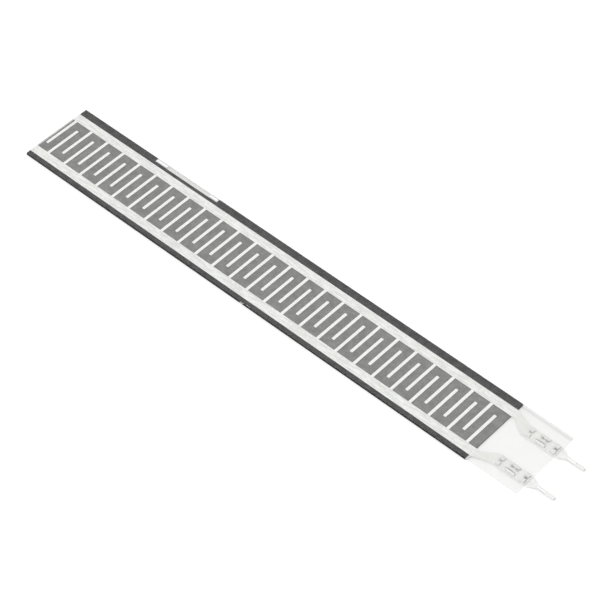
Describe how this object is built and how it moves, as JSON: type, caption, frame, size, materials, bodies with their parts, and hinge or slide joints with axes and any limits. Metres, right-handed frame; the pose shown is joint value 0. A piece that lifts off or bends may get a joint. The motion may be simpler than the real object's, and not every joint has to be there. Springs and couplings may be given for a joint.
{
  "type": "force sensitive resistor",
  "caption": "Thin trimmed strip force sensor: clear film with interleaved silver fingers over carbon ink, and a clear tail with crimped solder tabs.",
  "frame": {"origin": "on the rear face, halfway along the laminated strip, on the centre line of the silver comb", "axes": "+X along the strip towards the solder tabs, +Y towards the edge with the bare ink window, +Z out of the sensing face"},
  "size_m": [0.1161, 0.0147, 0.0007],
  "materials": {
    "clear_film": "clear gloss polyester",
    "silver_ink": "matt screen printed silver seen through film",
    "spacer_adhesive": "clear acrylic adhesive",
    "carbon_ink": "matt printed carbon",
    "base_film": "clear polyester",
    "rear_adhesive": "translucent acrylic adhesive",
    "liner_paper": "siliconised paper",
    "tin_plate": "bright tin plating"
  },
  "bodies": {
    "root": {"release_liner": "liner_paper", "rear_adhesive": "rear_adhesive", "base_film": "base_film", "carbon_ink": "carbon_ink", "left_spacer_rail": "spacer_adhesive", "right_spacer_rail": "spacer_adhesive", "left_electrode": "silver_ink", "right_electrode": "silver_ink", "electrode_film": "clear_film", "left_solder_tab": "tin_plate", "right_solder_tab": "tin_plate"}
  },
  "joints": []
}
